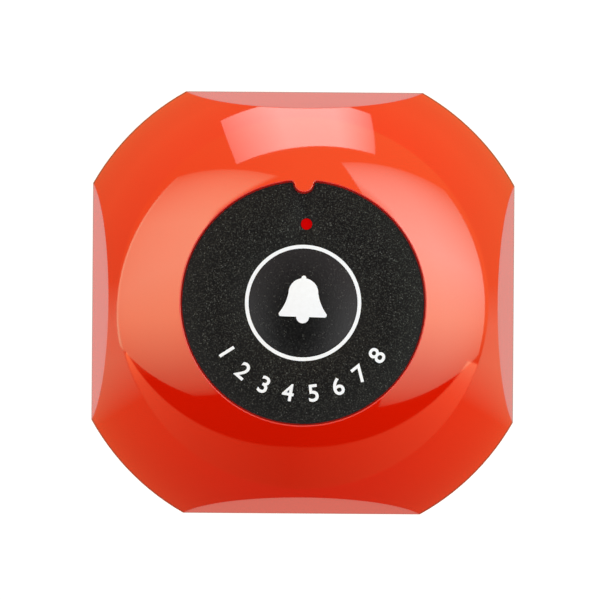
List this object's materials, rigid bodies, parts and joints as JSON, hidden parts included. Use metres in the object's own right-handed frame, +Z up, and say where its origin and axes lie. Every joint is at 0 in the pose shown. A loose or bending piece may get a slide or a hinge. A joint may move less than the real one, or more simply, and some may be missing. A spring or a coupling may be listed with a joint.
{
  "type": "waiter call button",
  "caption": "Low domed table call button with flat sides, a sunk round label and a central push button that works a sprung switch.",
  "frame": {"origin": "middle of the rest face, under the adhesive pad's liner", "axes": "+Z up out of the button, +Y towards the signal lamp and the label tab, +X to the right when the bell sign is read upright"},
  "size_m": [0.06, 0.06, 0.0204],
  "materials": {
    "case_plastic": "high gloss injection moulded",
    "base_plastic": "fine textured moulding",
    "label_film": "grained matt film",
    "white_ink": "screen printed",
    "plunger_plastic": "satin natural moulding",
    "seal_rubber": "soft silicone",
    "pad_foam": "foam adhesive",
    "liner_paper": "waxed paper",
    "screw_steel": "zinc plated",
    "contact_steel": "nickel plated",
    "board_laminate": "solder mask on glass laminate",
    "black_plastic": "satin moulding",
    "lamp_epoxy": "clear tinted epoxy",
    "wrap_film": "printed shrink sleeve",
    "coil_copper": "enamelled copper wire",
    "chip_ceramic": "sintered ceramic"
  },
  "bodies": {
    "housing": {"upper_shell": "case_plastic", "face_label": "label_film", "label_ring_print": "white_ink", "base_plate": "base_plastic", "base_gasket": "seal_rubber", "base_screws": "screw_steel", "adhesive_pad": "pad_foam", "release_liner": "liner_paper", "circuit_board": "board_laminate", "board_screws": "screw_steel", "switch_body": "black_plastic", "switch_cover_plate": "contact_steel", "switch_terminals": "contact_steel", "switch_snap_dome": "contact_steel", "lamp_lens": "lamp_epoxy", "lamp_window": "lamp_epoxy", "lamp_leads": "contact_steel", "lamp_spacer": "black_plastic", "battery_can": "contact_steel", "battery_wrap": "wrap_film", "battery_spring": "contact_steel", "plate_contact": "contact_steel", "spring_contact": "contact_steel", "antenna_coil": "coil_copper", "encoder_chip": "black_plastic", "encoder_chip_pins": "contact_steel", "crystal_can": "contact_steel", "crystal_leads": "contact_steel", "rf_transistor": "black_plastic", "chip_resistors": "black_plastic", "chip_capacitors": "chip_ceramic"},
    "button": {"button_dome": "label_film", "button_plunger": "plunger_plastic", "bell_print": "white_ink"},
    "stem": {"switch_stem": "black_plastic"}
  },
  "joints": [
    {"name": "button_press", "type": "slide", "parent": "housing", "child": "button", "axis": [0, 0, -1], "range_m": [0, 0.0005], "stiffness_N_per_m": 4000},
    {"name": "switch_stem_press", "type": "slide", "parent": "housing", "child": "stem", "axis": [0, 0, -1], "range_m": [0, 0.00025], "stiffness_N_per_m": 1000, "deforming": ["switch_snap_dome"]}
  ],
  "couplings": [
    {"joint": "switch_stem_press", "follows": "button_press", "ratio": 0.5}
  ]
}
